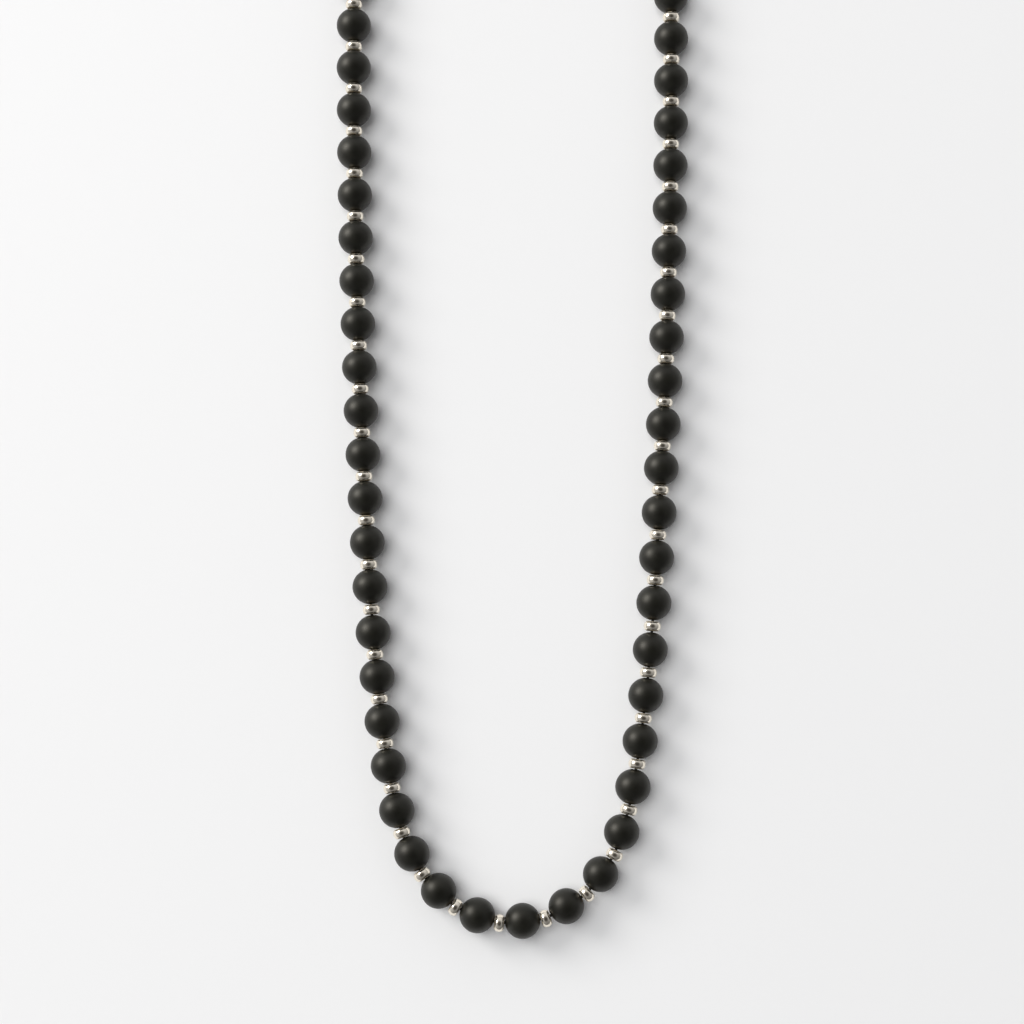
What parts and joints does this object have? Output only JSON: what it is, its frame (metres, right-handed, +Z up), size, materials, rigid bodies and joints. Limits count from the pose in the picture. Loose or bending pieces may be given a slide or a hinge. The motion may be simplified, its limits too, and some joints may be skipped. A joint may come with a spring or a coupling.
{
  "type": "mala prayer beads",
  "caption": "Long closed loop of matt black stone prayer beads with silver rondelles between them, a larger guru bead and a closing knot.",
  "frame": {"origin": "on the surface that the beads lie on, midway between the object's ends in X and Y", "axes": "+Z up from the surface; +Y along the loop, from its lower curve to the guru bead; +X to the right"},
  "size_m": [0.1031, 0.6827, 0.012],
  "materials": {
    "stone": "matt",
    "silver": "polished",
    "cord": "matt"
  },
  "bodies": {
    "lower_curve": {"rondelles_lower_curve": "silver", "cord_lower_curve": "cord"},
    "right_strand": {"beads_right_upper": "stone", "rondelles_right": "silver", "cord_right": "cord"},
    "left_strand": {"beads_left_upper": "stone", "rondelles_left": "silver", "cord_left": "cord"},
    "upper_curve": {"beads_upper_curve": "stone", "rondelles_upper_curve": "silver", "cord_upper_curve": "cord", "guru_bead": "stone", "guru_rondelle": "silver", "closing_knot": "cord"},
    "bead_01_body": {"bead_01": "stone"},
    "bead_02_body": {"bead_02": "stone"},
    "bead_03_body": {"bead_03": "stone"},
    "bead_04_body": {"bead_04": "stone"},
    "bead_05_body": {"bead_05": "stone"},
    "bead_06_body": {"bead_06": "stone"},
    "bead_07_body": {"bead_07": "stone"},
    "bead_08_body": {"bead_08": "stone"},
    "bead_09_body": {"bead_09": "stone"},
    "bead_10_body": {"bead_10": "stone"},
    "bead_11_body": {"bead_11": "stone"},
    "bead_12_body": {"bead_12": "stone"},
    "bead_13_body": {"bead_13": "stone"},
    "bead_14_body": {"bead_14": "stone"},
    "bead_15_body": {"bead_15": "stone"},
    "bead_16_body": {"bead_16": "stone"},
    "bead_17_body": {"bead_17": "stone"},
    "bead_18_body": {"bead_18": "stone"},
    "bead_19_body": {"bead_19": "stone"},
    "bead_20_body": {"bead_20": "stone"},
    "bead_21_body": {"bead_21": "stone"},
    "bead_22_body": {"bead_22": "stone"},
    "bead_23_body": {"bead_23": "stone"},
    "bead_24_body": {"bead_24": "stone"},
    "bead_25_body": {"bead_25": "stone"},
    "bead_26_body": {"bead_26": "stone"},
    "bead_27_body": {"bead_27": "stone"},
    "bead_28_body": {"bead_28": "stone"},
    "bead_29_body": {"bead_29": "stone"},
    "bead_30_body": {"bead_30": "stone"},
    "bead_31_body": {"bead_31": "stone"},
    "bead_32_body": {"bead_32": "stone"},
    "bead_33_body": {"bead_33": "stone"},
    "bead_34_body": {"bead_34": "stone"},
    "bead_35_body": {"bead_35": "stone"},
    "bead_36_body": {"bead_36": "stone"},
    "bead_37_body": {"bead_37": "stone"},
    "bead_38_body": {"bead_38": "stone"},
    "bead_39_body": {"bead_39": "stone"},
    "bead_40_body": {"bead_40": "stone"},
    "bead_41_body": {"bead_41": "stone"},
    "bead_42_body": {"bead_42": "stone"},
    "bead_43_body": {"bead_43": "stone"},
    "bead_44_body": {"bead_44": "stone"},
    "bead_45_body": {"bead_45": "stone"},
    "bead_46_body": {"bead_46": "stone"}
  },
  "joints": [
    {"name": "strand_sway", "type": "hinge", "parent": "lower_curve", "child": "left_strand", "pos_m": [-0.04017, -0.24878, 0.005], "axis": [0, 0, 1], "range_deg": [-10, 10]},
    {"name": "right_strand_sway", "type": "hinge", "parent": "lower_curve", "child": "right_strand", "pos_m": [0.03981, -0.25351, 0.005], "axis": [0, 0, 1], "range_deg": [-10, 10]},
    {"name": "upper_curve_sway", "type": "hinge", "parent": "left_strand", "child": "upper_curve", "pos_m": [-0.03981, 0.23452, 0.005], "axis": [0, 0, 1], "range_deg": [-10, 10]},
    {"name": "bead_01_spin", "type": "hinge", "parent": "left_strand", "child": "bead_01_body", "pos_m": [-0.04656, -0.06465, 0.005], "axis": [0.0002, -1, 0], "continuous": true},
    {"name": "bead_02_spin", "type": "hinge", "parent": "left_strand", "child": "bead_02_body", "pos_m": [-0.04653, -0.07734, 0.005], "axis": [0.0038, -1, 0], "continuous": true},
    {"name": "bead_03_spin", "type": "hinge", "parent": "left_strand", "child": "bead_03_body", "pos_m": [-0.04645, -0.09004, 0.005], "axis": [0.0087, -1, 0], "continuous": true},
    {"name": "bead_04_spin", "type": "hinge", "parent": "left_strand", "child": "bead_04_body", "pos_m": [-0.04631, -0.10273, 0.005], "axis": [0.0136, -0.9999, 0], "continuous": true},
    {"name": "bead_05_spin", "type": "hinge", "parent": "left_strand", "child": "bead_05_body", "pos_m": [-0.0461, -0.11542, 0.005], "axis": [0.0186, -0.9998, 0], "continuous": true},
    {"name": "bead_06_spin", "type": "hinge", "parent": "left_strand", "child": "bead_06_body", "pos_m": [-0.04584, -0.12812, 0.005], "axis": [0.0235, -0.9997, 0], "continuous": true},
    {"name": "bead_07_spin", "type": "hinge", "parent": "left_strand", "child": "bead_07_body", "pos_m": [-0.04551, -0.14081, 0.005], "axis": [0.0284, -0.9996, 0], "continuous": true},
    {"name": "bead_08_spin", "type": "hinge", "parent": "left_strand", "child": "bead_08_body", "pos_m": [-0.04512, -0.1535, 0.005], "axis": [0.0334, -0.9994, 0], "continuous": true},
    {"name": "bead_09_spin", "type": "hinge", "parent": "left_strand", "child": "bead_09_body", "pos_m": [-0.04466, -0.16618, 0.005], "axis": [0.0383, -0.9993, 0], "continuous": true},
    {"name": "bead_10_spin", "type": "hinge", "parent": "left_strand", "child": "bead_10_body", "pos_m": [-0.04414, -0.17887, 0.005], "axis": [0.0432, -0.9991, 0], "continuous": true},
    {"name": "bead_11_spin", "type": "hinge", "parent": "left_strand", "child": "bead_11_body", "pos_m": [-0.04356, -0.19155, 0.005], "axis": [0.0481, -0.9988, 0], "continuous": true},
    {"name": "bead_12_spin", "type": "hinge", "parent": "left_strand", "child": "bead_12_body", "pos_m": [-0.04292, -0.20423, 0.005], "axis": [0.0531, -0.9986, 0], "continuous": true},
    {"name": "bead_13_spin", "type": "hinge", "parent": "left_strand", "child": "bead_13_body", "pos_m": [-0.04222, -0.2169, 0.005], "axis": [0.058, -0.9983, 0], "continuous": true},
    {"name": "bead_14_spin", "type": "hinge", "parent": "left_strand", "child": "bead_14_body", "pos_m": [-0.04145, -0.22958, 0.005], "axis": [0.0629, -0.998, 0], "continuous": true},
    {"name": "bead_15_spin", "type": "hinge", "parent": "left_strand", "child": "bead_15_body", "pos_m": [-0.04062, -0.24224, 0.005], "axis": [0.068, -0.9977, 0], "continuous": true},
    {"name": "bead_16_spin", "type": "hinge", "parent": "lower_curve", "child": "bead_16_body", "pos_m": [-0.03962, -0.25527, 0.005], "axis": [0.0841, -0.9965, 0], "continuous": true},
    {"name": "bead_17_spin", "type": "hinge", "parent": "lower_curve", "child": "bead_17_body", "pos_m": [-0.03842, -0.26787, 0.005], "axis": [0.107, -0.9943, 0], "continuous": true},
    {"name": "bead_18_spin", "type": "hinge", "parent": "lower_curve", "child": "bead_18_body", "pos_m": [-0.03692, -0.28043, 0.005], "axis": [0.1298, -0.9915, 0], "continuous": true},
    {"name": "bead_19_spin", "type": "hinge", "parent": "lower_curve", "child": "bead_19_body", "pos_m": [-0.03505, -0.29296, 0.005], "axis": [0.1646, -0.9864, 0], "continuous": true},
    {"name": "bead_20_spin", "type": "hinge", "parent": "lower_curve", "child": "bead_20_body", "pos_m": [-0.03261, -0.3054, 0.005], "axis": [0.2203, -0.9754, 0], "continuous": true},
    {"name": "bead_21_spin", "type": "hinge", "parent": "lower_curve", "child": "bead_21_body", "pos_m": [-0.02829, -0.31749, 0.005], "axis": [0.4479, -0.8941, 0], "continuous": true},
    {"name": "bead_22_spin", "type": "hinge", "parent": "lower_curve", "child": "bead_22_body", "pos_m": [-0.02073, -0.3278, 0.005], "axis": [0.7175, -0.6965, 0], "continuous": true},
    {"name": "bead_23_spin", "type": "hinge", "parent": "lower_curve", "child": "bead_23_body", "pos_m": [-0.00986, -0.33456, 0.005], "axis": [0.9424, -0.3345, 0], "continuous": true},
    {"name": "bead_24_spin", "type": "hinge", "parent": "lower_curve", "child": "bead_24_body", "pos_m": [0.00283, -0.33612, 0.005], "axis": [0.9954, 0.0959, 0], "continuous": true},
    {"name": "bead_25_spin", "type": "hinge", "parent": "lower_curve", "child": "bead_25_body", "pos_m": [0.01511, -0.33204, 0.005], "axis": [0.8584, 0.5131, 0], "continuous": true},
    {"name": "bead_26_spin", "type": "hinge", "parent": "lower_curve", "child": "bead_26_body", "pos_m": [0.0248, -0.32317, 0.005], "axis": [0.5862, 0.8101, 0], "continuous": true},
    {"name": "bead_27_spin", "type": "hinge", "parent": "lower_curve", "child": "bead_27_body", "pos_m": [0.03076, -0.31146, 0.005], "axis": [0.3109, 0.9504, 0], "continuous": true},
    {"name": "bead_28_spin", "type": "hinge", "parent": "lower_curve", "child": "bead_28_body", "pos_m": [0.03401, -0.29882, 0.005], "axis": [0.185, 0.9827, 0], "continuous": true},
    {"name": "bead_29_spin", "type": "hinge", "parent": "lower_curve", "child": "bead_29_body", "pos_m": [0.03614, -0.28598, 0.005], "axis": [0.1427, 0.9898, 0], "continuous": true},
    {"name": "bead_30_spin", "type": "hinge", "parent": "lower_curve", "child": "bead_30_body", "pos_m": [0.03783, -0.2731, 0.005], "axis": [0.1165, 0.9932, 0], "continuous": true},
    {"name": "bead_31_spin", "type": "hinge", "parent": "lower_curve", "child": "bead_31_body", "pos_m": [0.03919, -0.26017, 0.005], "axis": [0.093, 0.9957, 0], "continuous": true},
    {"name": "bead_32_spin", "type": "hinge", "parent": "right_strand", "child": "bead_32_body", "pos_m": [0.04029, -0.24683, 0.005], "axis": [0.0718, 0.9974, 0], "continuous": true},
    {"name": "bead_33_spin", "type": "hinge", "parent": "right_strand", "child": "bead_33_body", "pos_m": [0.04117, -0.23389, 0.005], "axis": [0.0646, 0.9979, 0], "continuous": true},
    {"name": "bead_34_spin", "type": "hinge", "parent": "right_strand", "child": "bead_34_body", "pos_m": [0.04198, -0.22094, 0.005], "axis": [0.0595, 0.9982, 0], "continuous": true},
    {"name": "bead_35_spin", "type": "hinge", "parent": "right_strand", "child": "bead_35_body", "pos_m": [0.04271, -0.20813, 0.005], "axis": [0.0546, 0.9985, 0], "continuous": true},
    {"name": "bead_36_spin", "type": "hinge", "parent": "right_strand", "child": "bead_36_body", "pos_m": [0.04337, -0.19545, 0.005], "axis": [0.0496, 0.9988, 0], "continuous": true},
    {"name": "bead_37_spin", "type": "hinge", "parent": "right_strand", "child": "bead_37_body", "pos_m": [0.04397, -0.18277, 0.005], "axis": [0.0447, 0.999, 0], "continuous": true},
    {"name": "bead_38_spin", "type": "hinge", "parent": "right_strand", "child": "bead_38_body", "pos_m": [0.04451, -0.17008, 0.005], "axis": [0.0398, 0.9992, 0], "continuous": true},
    {"name": "bead_39_spin", "type": "hinge", "parent": "right_strand", "child": "bead_39_body", "pos_m": [0.04498, -0.1574, 0.005], "axis": [0.0349, 0.9994, 0], "continuous": true},
    {"name": "bead_40_spin", "type": "hinge", "parent": "right_strand", "child": "bead_40_body", "pos_m": [0.04539, -0.14471, 0.005], "axis": [0.0299, 0.9996, 0], "continuous": true},
    {"name": "bead_41_spin", "type": "hinge", "parent": "right_strand", "child": "bead_41_body", "pos_m": [0.04574, -0.13202, 0.005], "axis": [0.025, 0.9997, 0], "continuous": true},
    {"name": "bead_42_spin", "type": "hinge", "parent": "right_strand", "child": "bead_42_body", "pos_m": [0.04603, -0.11933, 0.005], "axis": [0.0201, 0.9998, 0], "continuous": true},
    {"name": "bead_43_spin", "type": "hinge", "parent": "right_strand", "child": "bead_43_body", "pos_m": [0.04625, -0.10663, 0.005], "axis": [0.0152, 0.9999, 0], "continuous": true},
    {"name": "bead_44_spin", "type": "hinge", "parent": "right_strand", "child": "bead_44_body", "pos_m": [0.04641, -0.09394, 0.005], "axis": [0.0102, 0.9999, 0], "continuous": true},
    {"name": "bead_45_spin", "type": "hinge", "parent": "right_strand", "child": "bead_45_body", "pos_m": [0.04651, -0.08124, 0.005], "axis": [0.0053, 1, 0], "continuous": true},
    {"name": "bead_46_spin", "type": "hinge", "parent": "right_strand", "child": "bead_46_body", "pos_m": [0.04655, -0.06855, 0.005], "axis": [0.0008, 1, 0], "continuous": true}
  ],
  "couplings": [
    {"joint": "right_strand_sway", "follows": "strand_sway", "ratio": 1},
    {"joint": "upper_curve_sway", "follows": "strand_sway", "ratio": -1}
  ]
}
